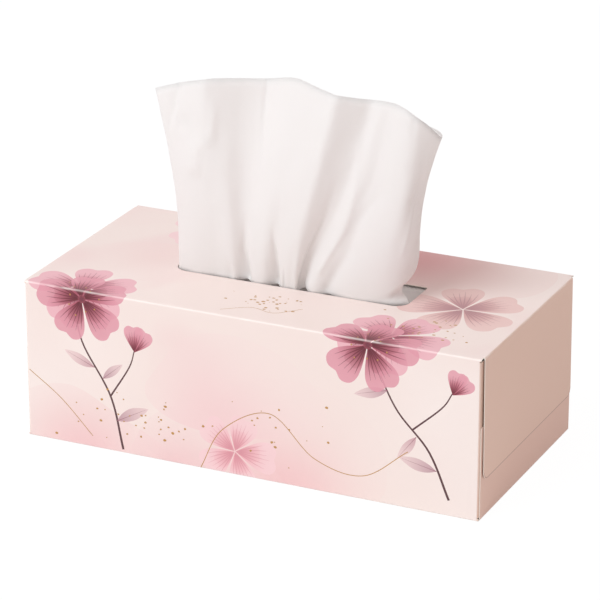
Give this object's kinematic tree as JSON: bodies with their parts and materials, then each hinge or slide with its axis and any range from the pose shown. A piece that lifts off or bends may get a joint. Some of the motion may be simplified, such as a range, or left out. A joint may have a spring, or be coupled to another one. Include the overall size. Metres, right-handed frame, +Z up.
{
  "type": "facial tissue box",
  "caption": "Long paperboard carton of interfolded facial tissues with one tissue gathered upright in its top slot.",
  "frame": {"origin": "middle of the carton's underside, on the surface it stands on", "axes": "+X along the carton's length, +Y from the long front panel towards the back panel with the glued seam, +Z up through the slot"},
  "size_m": [0.23, 0.114, 0.1773],
  "materials": {
    "carton_board": "printed paperboard with a soft satin varnish; pale pink ground",
    "tissue": "soft white two-ply crepe tissue, matte"
  },
  "bodies": {
    "root": {"carton": "carton_board", "tissue_stack": "tissue", "popup_tissue": "tissue"}
  },
  "joints": []
}
